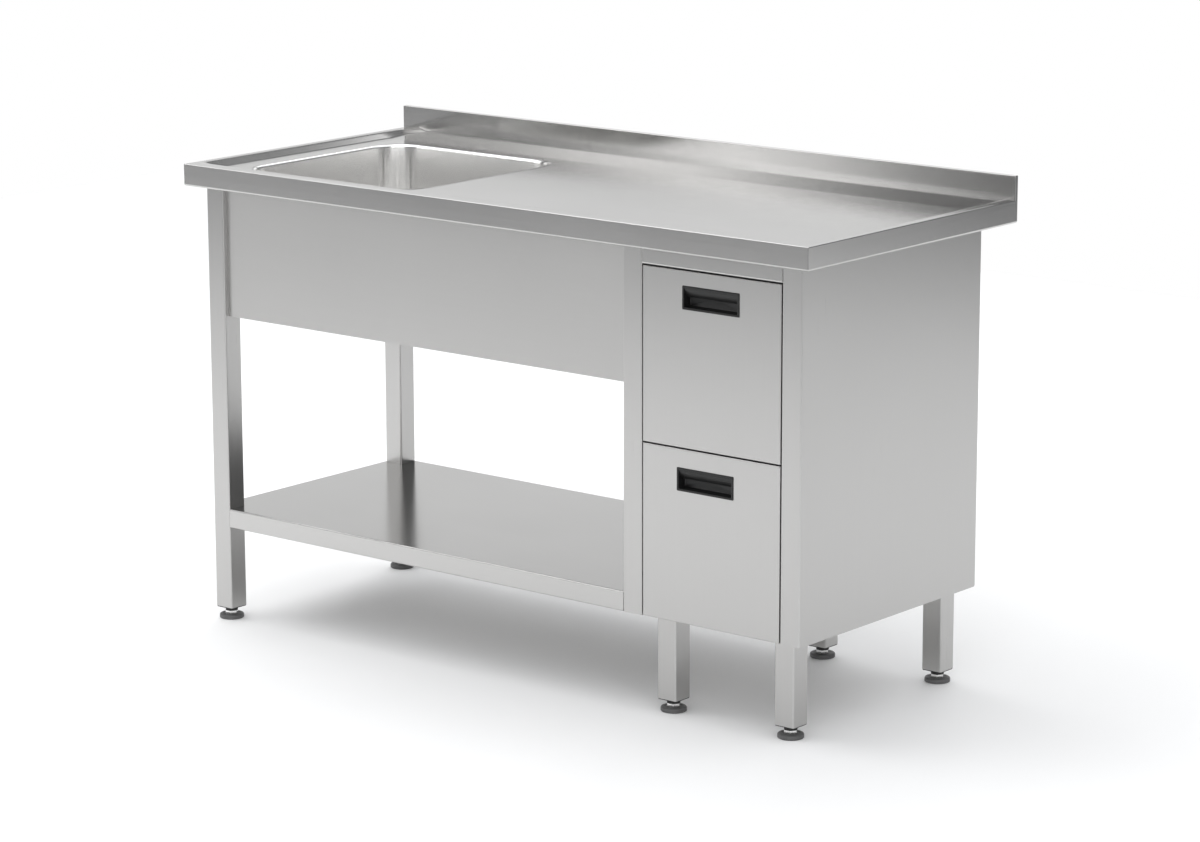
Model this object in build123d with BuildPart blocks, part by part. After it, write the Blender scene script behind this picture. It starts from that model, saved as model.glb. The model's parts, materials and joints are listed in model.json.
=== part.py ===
"""Stainless work table with a sink, a lower shelf and a block of two drawers.

Millimetres. The origin is on the floor under the middle of the table, +X runs
along its length to the right, +Y to the rear, where the upstand is, and +Z up.
"""
from build123d import *
import os

os.makedirs("parts", exist_ok=True)

# ---- overall sizes ----
LENGTH = 1400.0
DEPTH = 600.0
RIM_Z = 850.0
UPSTAND_TOP = 892.0
UPSTAND_THICK = 8.0
HALF_LENGTH = LENGTH / 2
HALF_DEPTH = DEPTH / 2
UPSTAND_Y = HALF_DEPTH - UPSTAND_THICK

# ---- sheet thicknesses ----
TOP_SHEET = 1.5
PANEL = 1.2
THIN = 1.0
BEND = 2.5

# ---- worktop: rim, slopes down to the floor, rear ramp ----
LIP_HEIGHT = 40.0
LIP_RETURN = 14.0
LIP_BOTTOM = RIM_Z - LIP_HEIGHT
FLOOR_Z = 842.0
UNDER_Z = FLOOR_Z - TOP_SHEET
RAMP_START_Y = 203.0
RAMP_END_Z = 846.0
RIM_LEFT = 15.0
RIM_FRONT = 30.0
RIM_RIGHT = 18.0
SLOPE_LEFT = 31.0
SLOPE_FRONT = 14.0
SLOPE_RIGHT = 14.0
PAN_RADIUS = 12.0
PAN_REAR_RADIUS = 42.0

# ---- sink ----
SINK_LENGTH = 400.0
SINK_WIDTH = 409.0
SINK_X = -409.0
SINK_Y = -36.5
SINK_DEPTH = 250.0
SINK_CORNER = 58.0
SINK_FLOOR_RADIUS = 30.0
SINK_WALL = 1.2
SINK_ROLL = 5.0
SINK_FLOOR_Z = FLOOR_Z - SINK_DEPTH

# ---- waste outlet under the sink ----
WASTE_HOLE_R = 25.0
WASTE_FLANGE_R = 40.0
WASTE_TAIL_R = 23.9
WASTE_BORE_R = 20.0
WASTE_BORE_LENGTH = 40.0
WASTE_CHAMBER_R = 22.0
WASTE_TAIL_LENGTH = 66.0
WASTE_CUP_R = 24.5
WASTE_CUP_DEPTH = 3.5
GASKET_THICK = 3.0
GASKET_R = 34.0
STRAINER_HOLE_R = 2.6
STRAINER_RINGS = ((10.5, 6), (17.5, 12))
WASTE_SCREW_R = 3.0
BRIDGE_DROP = 22.0
BRIDGE_THICK = 8.0

# ---- legs and levelling feet ----
TUBE = 40.0
TUBE_WALL = 1.5
TUBE_CORNER = 3.0
LEG_BOTTOM = 23.0
LEG_OUT_X = 673.5
FRAME_FRONT_Y = -270.0
FRAME_REAR_Y = 240.0
PLUG_FLANGE = 1.5
PLUG_NECK_R = 11.5
PLUG_DEPTH = 27.0
PLUG_FIT = 0.2
STOP_GAP = 0.3
PAD_R = 22.5
PAD_HEIGHT = 8.0
PAD_SOCKET_DEPTH = 5.0
COLLAR_R = 12.0
COLLAR_TOP = 14.0
STUD_R = 5.0
STUD_TOP = 64.0
STUD_FIT = 0.1

# ---- cabinet with two drawers ----
CAB_LEFT = 297.0
CAB_RIGHT = 667.0
CAB_BOTTOM = 177.0
STILE = 40.0
STILE_RETURN = 38.0
TOP_RAIL_BOTTOM = 779.0
RAIL_DEPTH = 25.0
CAB_LEG_INSET = 41.0
OPEN_LEFT = CAB_LEFT + STILE
OPEN_RIGHT = CAB_RIGHT - STILE
OPEN_MID = (OPEN_LEFT + OPEN_RIGHT) / 2
CAB_FLOOR_TOP = CAB_BOTTOM + TOP_SHEET

# ---- drawers ----
FRONT_GAP = 1.5
FRONT_BOTTOM_FIT = 0.5
FRONT_THICK = 20.0
FRONT_SPLIT_Z = 477.5
FRONT_SPLIT_GAP = 2.0
BOX_LENGTH = 450.0
BOX_HEIGHT = 240.0
UPPER_BOX_Z = 500.0
LOWER_BOX_Z = 200.0
BOX_CORNER = 6.0
BOX_LIP = 8.0
SLIDE_THICK = 12.7
SLIDE_LENGTH = 450.0
SLIDE_RISE = 80.0
SLIDE_SHEET = 1.2
BRACKET_HEIGHT = 60.0
BRACKET_LENGTH = 466.0

# ---- drawer pulls ----
PULL_LENGTH = 118.0
PULL_HEIGHT = 40.0
PULL_PROUD = 1.2
PULL_FRAME = 4.0
PULL_WALL = 1.5
PULL_DEPTH = 17.0
PULL_LAP = 3.0
PULL_LIP_BACK = 9.0
UPPER_PULL_X = 481.5
UPPER_PULL_Z = 732.5
LOWER_PULL_X = 471.0
LOWER_PULL_Z = 425.0

# ---- lower shelf and aprons ----
SHELF_TOP = 212.0
SHELF_HEIGHT = 35.0
SHELF_HEM = 12.0
NOTCH_FIT = 0.3
APRON_SET_BACK = 9.0
APRON_BOTTOM = 572.0
APRON_HEM = 12.0
OMEGA_HEIGHT = 20.0
OMEGA_CROWN = 30.0
OMEGA_FLANGE = 15.0
STIFFENER_PLACES = (("front", -120.0), ("rear", 100.0))
REAR_RAIL = 30.0

LEG_IN_X = LEG_OUT_X - TUBE
SHELF_BOTTOM = SHELF_TOP - SHELF_HEIGHT


def block(low, high, mode=Mode.ADD):
    """A block between its lowest and highest corners, in the current piece."""
    size = [b - a for a, b in zip(low, high)]
    middle = [(a + b) / 2 for a, b in zip(low, high)]
    with Locations(tuple(middle)):
        Box(*size, mode=mode)


def square_tube(x, y, bottom, top):
    """A closed-section tube standing on its centre (x, y), with rolled corners."""
    with BuildPart() as tube:
        with BuildSketch(Plane.XY.offset(bottom)):
            with Locations((x, y)):
                RectangleRounded(TUBE, TUBE, TUBE_CORNER)
                inside = TUBE - 2 * TUBE_WALL
                RectangleRounded(inside, inside, TUBE_CORNER - TUBE_WALL, mode=Mode.SUBTRACT)
        extrude(amount=top - bottom)
    return tube


def pan(lowered, grown, grown_rear, top_z):
    """The hollow pressed into the worktop: a tapered tray with a rear ramp."""
    floor = FLOOR_Z - lowered
    rear = UPSTAND_Y + grown_rear
    levels = []
    for z, left, front, right, radius in (
        (floor, SLOPE_LEFT, SLOPE_FRONT, SLOPE_RIGHT, PAN_REAR_RADIUS),
        (top_z, 0.0, 0.0, 0.0, PAN_REAR_RADIUS + SLOPE_FRONT),
    ):
        x0 = -HALF_LENGTH + RIM_LEFT + left - grown
        x1 = HALF_LENGTH - RIM_RIGHT - right + grown
        y0 = -HALF_DEPTH + RIM_FRONT + front - grown
        with BuildSketch(Plane.XY.offset(z)) as level:
            with BuildLine():
                FilletPolyline(
                    (x0, y0),
                    (x1, y0),
                    (x1, rear),
                    (x0, rear),
                    radius=[PAN_RADIUS, PAN_RADIUS, PAN_RADIUS, radius],
                    close=True,
                )
            make_face()
        levels.append(level.sketch.faces()[0])
    with BuildPart() as tray:
        loft(levels, ruled=True)
        rise = RAMP_END_Z - FLOOR_Z
        run = UPSTAND_Y - RAMP_START_Y
        past = TUBE
        with BuildSketch(Plane.YZ.offset(-LENGTH)) as ramp:
            with BuildLine():
                Polyline(
                    (RAMP_START_Y, floor),
                    (UPSTAND_Y + past, floor + rise * (run + past) / run),
                    (UPSTAND_Y + past, floor - past),
                    (RAMP_START_Y, floor - past),
                    close=True,
                )
            make_face()
        extrude(ramp.sketch, amount=2 * LENGTH, mode=Mode.SUBTRACT)
    return tray


def omega(x0, x1, y, top):
    """An omega channel along X, hanging by its two flanges from height top."""
    low = top - OMEGA_HEIGHT
    half = OMEGA_CROWN / 2
    with BuildPart() as channel:
        with BuildSketch(Plane.YZ.offset(x0)):
            with BuildLine():
                Polyline(
                    (y - half - OMEGA_FLANGE, top),
                    (y - half + PANEL, top),
                    (y - half + PANEL, low + PANEL),
                    (y + half - PANEL, low + PANEL),
                    (y + half - PANEL, top),
                    (y + half + OMEGA_FLANGE, top),
                    (y + half + OMEGA_FLANGE, top - PANEL),
                    (y + half, top - PANEL),
                    (y + half, low),
                    (y - half, low),
                    (y - half, top - PANEL),
                    (y - half - OMEGA_FLANGE, top - PANEL),
                    close=True,
                )
            make_face()
        extrude(amount=x1 - x0)
    return channel


def channel_profile(wall_x, toward, web_near, web_far, lip_end, mid_z, half_height):
    """A C-section in the XZ plane: a web and two lips, measured from wall_x."""
    near = wall_x + toward * web_near
    far = wall_x + toward * web_far
    end = wall_x + toward * lip_end
    inner_half = half_height - SLIDE_SHEET
    Polyline(
        (near, mid_z - half_height),
        (end, mid_z - half_height),
        (end, mid_z - inner_half),
        (far, mid_z - inner_half),
        (far, mid_z + inner_half),
        (end, mid_z + inner_half),
        (end, mid_z + half_height),
        (near, mid_z + half_height),
        close=True,
    )


# ---- worktop: one folded sheet with rim, lips, pressed pan and folded upstand ----
pan_air = pan(0.0, 0.0, 0.0, RIM_Z)
pan_skin = pan(TOP_SHEET, TOP_SHEET / 3, TOP_SHEET, RIM_Z - TOP_SHEET)

with BuildPart() as lip_air:
    lip_x = HALF_LENGTH - TOP_SHEET
    lip_y = HALF_DEPTH - TOP_SHEET
    block((-lip_x, -lip_y, LIP_BOTTOM + TOP_SHEET), (lip_x, lip_y, RIM_Z - TOP_SHEET))
    mouth_x = HALF_LENGTH - LIP_RETURN
    mouth_y = HALF_DEPTH - LIP_RETURN
    block((-mouth_x, -mouth_y, LIP_BOTTOM), (mouth_x, mouth_y, LIP_BOTTOM + TOP_SHEET))
    block((-lip_x, UPSTAND_Y + TOP_SHEET, UNDER_Z), (lip_x, lip_y, UPSTAND_TOP - TOP_SHEET))

with BuildPart() as worktop:
    with BuildSketch(Plane.XY.offset(LIP_BOTTOM)):
        RectangleRounded(LENGTH, DEPTH, BEND / 2)
    extrude(amount=LIP_HEIGHT)
    fillet(worktop.faces().sort_by(Axis.Z)[0].edges(), BEND)
    rim_edges = worktop.faces().sort_by(Axis.Z)[-1].edges()
    fillet(rim_edges.filter_by(lambda e: e.center().Y < UPSTAND_Y), BEND / 2)
    block((-HALF_LENGTH, UPSTAND_Y, RIM_Z - BEND), (HALF_LENGTH, HALF_DEPTH, UPSTAND_TOP))
    add(lip_air.part, mode=Mode.SUBTRACT)
    add(pan_skin.part)
    add(pan_air.part, mode=Mode.SUBTRACT)
    with BuildSketch(Plane.XY.offset(UNDER_Z - TOP_SHEET)):
        with Locations((SINK_X, SINK_Y)):
            cut_length = SINK_LENGTH + 2 * SINK_ROLL
            cut_width = SINK_WIDTH + 2 * SINK_ROLL
            RectangleRounded(cut_length, cut_width, SINK_CORNER + SINK_ROLL)
    extrude(amount=RIM_Z - UNDER_Z, mode=Mode.SUBTRACT)
worktop.part.label = "worktop"
export_step(worktop.part, "parts/worktop.step")

# ---- omega channels that stiffen the worktop ----
SINK_RIGHT = SINK_X + SINK_LENGTH / 2 + SINK_ROLL
for name, y in STIFFENER_PLACES:
    stiffener = omega(SINK_RIGHT + OMEGA_FLANGE, CAB_LEFT - OMEGA_FLANGE, y, UNDER_Z)
    stiffener.part.label = f"worktop_stiffener_{name}"
    export_step(stiffener.part, f"parts/worktop_stiffener_{name}.step")

# ---- sink bowl: deep-drawn, with a rolled rim welded into the worktop ----
with BuildPart() as bowl_air:
    with BuildSketch(Plane.XY.offset(SINK_FLOOR_Z)):
        with Locations((SINK_X, SINK_Y)):
            RectangleRounded(SINK_LENGTH, SINK_WIDTH, SINK_CORNER)
    extrude(amount=SINK_DEPTH)
    fillet(bowl_air.faces().sort_by(Axis.Z)[0].edges(), SINK_FLOOR_RADIUS)

with BuildPart() as sink_bowl:
    with BuildSketch(Plane.XY.offset(SINK_FLOOR_Z - SINK_WALL)):
        with Locations((SINK_X, SINK_Y)):
            shell_length = SINK_LENGTH + 2 * SINK_WALL
            shell_width = SINK_WIDTH + 2 * SINK_WALL
            RectangleRounded(shell_length, shell_width, SINK_CORNER + SINK_WALL)
    extrude(amount=SINK_DEPTH + SINK_WALL)
    fillet(sink_bowl.faces().sort_by(Axis.Z)[0].edges(), SINK_FLOOR_RADIUS + SINK_WALL)
    with BuildSketch(Plane.XY.offset(FLOOR_Z - SINK_ROLL - SINK_WALL)):
        with Locations((SINK_X, SINK_Y)):
            RectangleRounded(cut_length, cut_width, SINK_CORNER + SINK_ROLL)
    extrude(amount=SINK_ROLL + SINK_WALL)
    add(bowl_air.part, mode=Mode.SUBTRACT)
    mouth = sink_bowl.faces().sort_by(Axis.Z)[-1].inner_wires()[0]
    fillet(mouth.edges(), SINK_ROLL * 0.85)
    with Locations((SINK_X, SINK_Y, SINK_FLOOR_Z)):
        Cylinder(WASTE_HOLE_R, 4 * SINK_WALL, mode=Mode.SUBTRACT)
sink_bowl.part.label = "sink_bowl"
export_step(sink_bowl.part, "parts/sink_bowl.step")

# ---- waste outlet: strainer, screw, gasket and threaded tail ----
CUP_BOTTOM = SINK_FLOOR_Z - WASTE_CUP_DEPTH
GASKET_TOP = SINK_FLOOR_Z - SINK_WALL
TAIL_TOP = GASKET_TOP - GASKET_THICK

with BuildPart() as drain_strainer:
    with BuildSketch(Plane.XZ.offset(-SINK_Y)):
        with BuildLine():
            Polyline(
                (SINK_X + WASTE_SCREW_R + STUD_FIT, CUP_BOTTOM),
                (SINK_X + WASTE_CUP_R, CUP_BOTTOM),
                (SINK_X + WASTE_CUP_R, SINK_FLOOR_Z),
                (SINK_X + WASTE_FLANGE_R, SINK_FLOOR_Z),
                (SINK_X + WASTE_FLANGE_R - TOP_SHEET, SINK_FLOOR_Z + TOP_SHEET),
                (SINK_X + WASTE_CUP_R - TOP_SHEET, SINK_FLOOR_Z + TOP_SHEET),
                (SINK_X + WASTE_CUP_R - 2 * TOP_SHEET, CUP_BOTTOM + TOP_SHEET),
                (SINK_X + WASTE_SCREW_R + STUD_FIT, CUP_BOTTOM + TOP_SHEET),
                close=True,
            )
        make_face()
    revolve(axis=Axis((SINK_X, SINK_Y, 0), (0, 0, 1)))
    with BuildSketch(Plane.XY.offset(CUP_BOTTOM - THIN)):
        with Locations((SINK_X, SINK_Y)):
            for ring_radius, holes in STRAINER_RINGS:
                with PolarLocations(ring_radius, holes):
                    Circle(STRAINER_HOLE_R)
    extrude(amount=2 * TOP_SHEET, mode=Mode.SUBTRACT)
drain_strainer.part.label = "drain_strainer"
export_step(drain_strainer.part, "parts/drain_strainer.step")

with BuildPart() as drain_gasket:
    with BuildSketch(Plane.XY.offset(TAIL_TOP)):
        with Locations((SINK_X, SINK_Y)):
            Circle(GASKET_R)
            Circle(WASTE_HOLE_R, mode=Mode.SUBTRACT)
    extrude(amount=GASKET_THICK)
drain_gasket.part.label = "drain_gasket"
export_step(drain_gasket.part, "parts/drain_gasket.step")

BRIDGE_Z = TAIL_TOP - BRIDGE_DROP
with BuildPart() as drain_tail:
    with BuildSketch(Plane.XY.offset(TAIL_TOP - WASTE_TAIL_LENGTH)):
        with Locations((SINK_X, SINK_Y)):
            Circle(WASTE_TAIL_R)
    extrude(amount=WASTE_TAIL_LENGTH)
    with BuildSketch(Plane.XY.offset(TAIL_TOP - GASKET_THICK)):
        with Locations((SINK_X, SINK_Y)):
            Circle(GASKET_R)
    extrude(amount=GASKET_THICK)
    with BuildSketch(Plane.XY.offset(TAIL_TOP - WASTE_TAIL_LENGTH)):
        with Locations((SINK_X, SINK_Y)):
            Circle(WASTE_BORE_R)
    extrude(amount=WASTE_TAIL_LENGTH, mode=Mode.SUBTRACT)
    with BuildSketch(Plane.XY.offset(TAIL_TOP - WASTE_TAIL_LENGTH + WASTE_BORE_LENGTH)):
        with Locations((SINK_X, SINK_Y)):
            Circle(WASTE_CHAMBER_R)
    extrude(amount=WASTE_TAIL_LENGTH - WASTE_BORE_LENGTH, mode=Mode.SUBTRACT)
    with BuildSketch(Plane.XY.offset(BRIDGE_Z)):
        with Locations((SINK_X, SINK_Y)):
            Rectangle(2 * WASTE_CHAMBER_R + THIN, 2 * WASTE_SCREW_R)
            Circle(2 * WASTE_SCREW_R)
            Circle(WASTE_SCREW_R, mode=Mode.SUBTRACT)
    extrude(amount=BRIDGE_THICK)
drain_tail.part.label = "drain_tail"
export_step(drain_tail.part, "parts/drain_tail.step")

with BuildPart() as drain_screw:
    with BuildSketch(Plane.XY.offset(BRIDGE_Z)):
        with Locations((SINK_X, SINK_Y)):
            Circle(WASTE_SCREW_R - STUD_FIT)
    extrude(amount=CUP_BOTTOM + TOP_SHEET - BRIDGE_Z)
    with BuildSketch(Plane.XY.offset(CUP_BOTTOM + TOP_SHEET)):
        with Locations((SINK_X, SINK_Y)):
            Circle(2 * WASTE_SCREW_R)
    extrude(amount=WASTE_SCREW_R)
    fillet(drain_screw.faces().sort_by(Axis.Z)[-1].edges(), THIN)
drain_screw.part.label = "drain_screw"
export_step(drain_screw.part, "parts/drain_screw.step")

# ---- two full-height legs at the left, four short ones under the cabinet ----
half_tube = TUBE / 2
left_x = -LEG_OUT_X + half_tube
rear_y = FRAME_REAR_Y - half_tube
cab_leg_x = (CAB_LEFT + CAB_LEG_INSET + half_tube, CAB_RIGHT - CAB_LEG_INSET - half_tube)
cab_front_y = FRAME_FRONT_Y + CAB_LEG_INSET + half_tube
leg_places = {
    "front_left": (left_x, FRAME_FRONT_Y + half_tube, UNDER_Z),
    "rear_left": (left_x, rear_y, UNDER_Z),
    "cabinet_front_left": (cab_leg_x[0], cab_front_y, CAB_BOTTOM),
    "cabinet_front_right": (cab_leg_x[1], cab_front_y, CAB_BOTTOM),
    "cabinet_rear_left": (cab_leg_x[0], rear_y, CAB_BOTTOM),
    "cabinet_rear_right": (cab_leg_x[1], rear_y, CAB_BOTTOM),
}

for name, (x, y, top) in leg_places.items():
    leg = square_tube(x, y, LEG_BOTTOM, top)
    leg.part.label = f"leg_{name}"
    export_step(leg.part, f"parts/leg_{name}.step")

# ---- threaded plastic plugs in the leg ends, alike, kept as one group ----
foot_points = [(x, y) for x, y, top in leg_places.values()]
plug_side = TUBE - 2 * TUBE_WALL - 2 * PLUG_FIT
NECK_BOTTOM = COLLAR_TOP + STOP_GAP
with BuildPart() as leg_plugs:
    with BuildSketch(Plane.XY.offset(NECK_BOTTOM)):
        with Locations(*foot_points):
            Circle(PLUG_NECK_R)
    extrude(amount=LEG_BOTTOM - PLUG_FLANGE - NECK_BOTTOM)
    with BuildSketch(Plane.XY.offset(LEG_BOTTOM - PLUG_FLANGE)):
        with Locations(*foot_points):
            RectangleRounded(TUBE - THIN, TUBE - THIN, TUBE_CORNER)
    extrude(amount=PLUG_FLANGE)
    with BuildSketch(Plane.XY.offset(LEG_BOTTOM)):
        with Locations(*foot_points):
            RectangleRounded(plug_side, plug_side, TUBE_WALL)
    extrude(amount=PLUG_DEPTH)
    with BuildSketch(Plane.XY.offset(NECK_BOTTOM)):
        with Locations(*foot_points):
            Circle(STUD_R + STUD_FIT)
    extrude(amount=LEG_BOTTOM + PLUG_DEPTH - NECK_BOTTOM, mode=Mode.SUBTRACT)
leg_plugs.part.label = "leg_plugs"
export_step(leg_plugs.part, "parts/leg_plugs.step")

# ---- levelling feet: a plastic pad and a threaded stud with a hexagon collar ----
for name, (x, y, top) in leg_places.items():
    with BuildPart() as pad:
        with BuildSketch():
            with Locations((x, y)):
                Circle(PAD_R)
        extrude(amount=PAD_HEIGHT)
        fillet(pad.faces().sort_by(Axis.Z)[-1].edges(), PAD_HEIGHT * 0.45)
        fillet(pad.faces().sort_by(Axis.Z)[0].edges(), THIN)
        with BuildSketch(Plane.XY.offset(PAD_HEIGHT - PAD_SOCKET_DEPTH)):
            with Locations((x, y)):
                Circle(STUD_R + STUD_FIT)
        extrude(amount=PAD_SOCKET_DEPTH, mode=Mode.SUBTRACT)
    pad.part.label = f"foot_pad_{name}"
    export_step(pad.part, f"parts/foot_pad_{name}.step")

    with BuildPart() as stud:
        with BuildSketch(Plane.XY.offset(PAD_HEIGHT - PAD_SOCKET_DEPTH)):
            with Locations((x, y)):
                Circle(STUD_R)
        extrude(amount=STUD_TOP - PAD_HEIGHT + PAD_SOCKET_DEPTH)
        with BuildSketch(Plane.XY.offset(PAD_HEIGHT)):
            with Locations((x, y)):
                RegularPolygon(COLLAR_R, 6)
        extrude(amount=COLLAR_TOP - PAD_HEIGHT)
    stud.part.label = f"foot_stud_{name}"
    export_step(stud.part, f"parts/foot_stud_{name}.step")

# ---- front apron: a C-folded panel that hides the bowl ----
apron_y = FRAME_FRONT_Y + APRON_SET_BACK
with BuildPart() as front_apron:
    with BuildSketch(Plane.YZ.offset(-LEG_IN_X)):
        with BuildLine():
            Polyline(
                (apron_y, APRON_BOTTOM),
                (apron_y + APRON_HEM, APRON_BOTTOM),
                (apron_y + APRON_HEM, APRON_BOTTOM + PANEL),
                (apron_y + PANEL, APRON_BOTTOM + PANEL),
                (apron_y + PANEL, UNDER_Z - PANEL),
                (apron_y + APRON_HEM, UNDER_Z - PANEL),
                (apron_y + APRON_HEM, UNDER_Z),
                (apron_y, UNDER_Z),
                close=True,
            )
        make_face()
    extrude(amount=CAB_LEFT + LEG_IN_X)
front_apron.part.label = "front_apron"
export_step(front_apron.part, "parts/front_apron.step")

# ---- left apron between the two tall legs ----
apron_x = -LEG_OUT_X + APRON_SET_BACK
with BuildPart() as left_apron:
    apron_low_y = FRAME_FRONT_Y + TUBE
    apron_high_y = FRAME_REAR_Y - TUBE
    block((apron_x, apron_low_y, APRON_BOTTOM), (apron_x + PANEL, apron_high_y, UNDER_Z))
    block((apron_x, apron_low_y, APRON_BOTTOM), (apron_x + APRON_HEM, apron_high_y, APRON_BOTTOM + PANEL))
left_apron.part.label = "left_apron"
export_step(left_apron.part, "parts/left_apron.step")

# ---- rear rail from the rear left leg to the cabinet ----
with BuildPart() as rear_rail:
    with BuildSketch(Plane.YZ.offset(-LEG_IN_X)):
        with Locations((FRAME_REAR_Y - REAR_RAIL / 2, UNDER_Z - REAR_RAIL / 2)):
            RectangleRounded(REAR_RAIL, REAR_RAIL, TUBE_CORNER)
            rail_inside = REAR_RAIL - 2 * TUBE_WALL
            RectangleRounded(rail_inside, rail_inside, TUBE_WALL, mode=Mode.SUBTRACT)
    extrude(amount=CAB_LEFT + LEG_IN_X)
rear_rail.part.label = "rear_rail"
export_step(rear_rail.part, "parts/rear_rail.step")

# ---- lower shelf: a folded tray turned down, notched round the legs ----
with BuildPart() as lower_shelf:
    shelf_low = (-LEG_OUT_X, FRAME_FRONT_Y)
    shelf_high = (CAB_LEFT, FRAME_REAR_Y)
    block((*shelf_low, SHELF_BOTTOM), (*shelf_high, SHELF_TOP))
    outer_edges = lower_shelf.edges().filter_by(Axis.X)
    fillet(outer_edges, BEND)
    block(
        (shelf_low[0] + PANEL, shelf_low[1] + PANEL, SHELF_BOTTOM + PANEL),
        (shelf_high[0], shelf_high[1] - PANEL, SHELF_TOP - PANEL),
        mode=Mode.SUBTRACT,
    )
    block(
        (shelf_low[0] + SHELF_HEM, shelf_low[1] + SHELF_HEM, SHELF_BOTTOM),
        (shelf_high[0], shelf_high[1] - SHELF_HEM, SHELF_BOTTOM + PANEL),
        mode=Mode.SUBTRACT,
    )
    notch = TUBE + NOTCH_FIT
    for notch_y in (FRAME_FRONT_Y, FRAME_REAR_Y - notch):
        block(
            (-LEG_OUT_X, notch_y, SHELF_BOTTOM),
            (-LEG_OUT_X + notch, notch_y + notch, SHELF_TOP),
            mode=Mode.SUBTRACT,
        )
lower_shelf.part.label = "lower_shelf"
export_step(lower_shelf.part, "parts/lower_shelf.step")

shelf_middle_y = (FRAME_FRONT_Y + FRAME_REAR_Y) / 2
shelf_stiffener = omega(-LEG_IN_X, CAB_LEFT - OMEGA_FLANGE, shelf_middle_y, SHELF_TOP - PANEL)
shelf_stiffener.part.label = "shelf_stiffener"
export_step(shelf_stiffener.part, "parts/shelf_stiffener.step")

# ---- cabinet shell: sides folded round into the front stiles ----
for name, outer_x, inward in (("left", CAB_LEFT, 1), ("right", CAB_RIGHT, -1)):
    with BuildPart() as side:
        with BuildSketch(Plane.XY.offset(CAB_FLOOR_TOP)) as plan:
            skin = inward * TOP_SHEET
            stile_x = outer_x + inward * STILE
            with BuildLine():
                Polyline(
                    (outer_x, FRAME_REAR_Y),
                    (outer_x, FRAME_FRONT_Y),
                    (stile_x, FRAME_FRONT_Y),
                    (stile_x, FRAME_FRONT_Y + STILE_RETURN),
                    (stile_x - skin, FRAME_FRONT_Y + STILE_RETURN),
                    (stile_x - skin, FRAME_FRONT_Y + TOP_SHEET),
                    (outer_x + skin, FRAME_FRONT_Y + TOP_SHEET),
                    (outer_x + skin, FRAME_REAR_Y),
                    close=True,
                )
            make_face()
            corners = plan.vertices().filter_by(lambda v: v.Y < FRAME_FRONT_Y + THIN)
            fillet(corners, BEND)
        extrude(amount=UNDER_Z - CAB_FLOOR_TOP)
    side.part.label = f"cabinet_side_{name}"
    export_step(side.part, f"parts/cabinet_side_{name}.step")

with BuildPart() as cabinet_bottom:
    block((CAB_LEFT, FRAME_FRONT_Y, CAB_BOTTOM), (CAB_RIGHT, FRAME_REAR_Y, CAB_FLOOR_TOP))
    fillet(cabinet_bottom.edges().filter_by(Axis.Z), BEND)
    block(
        (OPEN_LEFT, FRAME_FRONT_Y, CAB_BOTTOM),
        (OPEN_RIGHT, FRAME_FRONT_Y + FRONT_THICK + FRONT_GAP, CAB_FLOOR_TOP),
        mode=Mode.SUBTRACT,
    )
cabinet_bottom.part.label = "cabinet_bottom"
export_step(cabinet_bottom.part, "parts/cabinet_bottom.step")

back_y = FRAME_REAR_Y - PANEL
with BuildPart() as cabinet_back:
    block(
        (CAB_LEFT + TOP_SHEET, back_y, CAB_FLOOR_TOP),
        (CAB_RIGHT - TOP_SHEET, FRAME_REAR_Y, UNDER_Z),
    )
cabinet_back.part.label = "cabinet_back"
export_step(cabinet_back.part, "parts/cabinet_back.step")

with BuildPart() as cabinet_top_rail:
    with BuildSketch(Plane.YZ.offset(OPEN_LEFT)) as rail_section:
        with BuildLine():
            Polyline(
                (FRAME_FRONT_Y, TOP_RAIL_BOTTOM),
                (FRAME_FRONT_Y + RAIL_DEPTH, TOP_RAIL_BOTTOM),
                (FRAME_FRONT_Y + RAIL_DEPTH, TOP_RAIL_BOTTOM + TOP_SHEET),
                (FRAME_FRONT_Y + TOP_SHEET, TOP_RAIL_BOTTOM + TOP_SHEET),
                (FRAME_FRONT_Y + TOP_SHEET, UNDER_Z - TOP_SHEET),
                (FRAME_FRONT_Y + RAIL_DEPTH, UNDER_Z - TOP_SHEET),
                (FRAME_FRONT_Y + RAIL_DEPTH, UNDER_Z),
                (FRAME_FRONT_Y, UNDER_Z),
                close=True,
            )
        make_face()
    extrude(amount=OPEN_RIGHT - OPEN_LEFT)
cabinet_top_rail.part.label = "cabinet_top_rail"
export_step(cabinet_top_rail.part, "parts/cabinet_top_rail.step")

with BuildPart() as cabinet_rear_rail:
    rail_left = CAB_LEFT + TOP_SHEET
    rail_right = CAB_RIGHT - TOP_SHEET
    block((rail_left, back_y - RAIL_DEPTH, UNDER_Z - PANEL), (rail_right, back_y, UNDER_Z))
    block((rail_left, back_y - PANEL, UNDER_Z - RAIL_DEPTH), (rail_right, back_y, UNDER_Z - PANEL))
cabinet_rear_rail.part.label = "cabinet_rear_rail"
export_step(cabinet_rear_rail.part, "parts/cabinet_rear_rail.step")

# ---- drawers, their slides and the brackets that carry the slides ----
box_front_y = FRAME_FRONT_Y + FRONT_THICK
box_rear_y = box_front_y + BOX_LENGTH
slide_front_y = box_front_y + 2 * THIN
box_left = OPEN_LEFT + SLIDE_THICK
box_right = OPEN_RIGHT - SLIDE_THICK
bracket_front_y = back_y - BRACKET_LENGTH
half_gap = FRONT_SPLIT_GAP / 2
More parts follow.
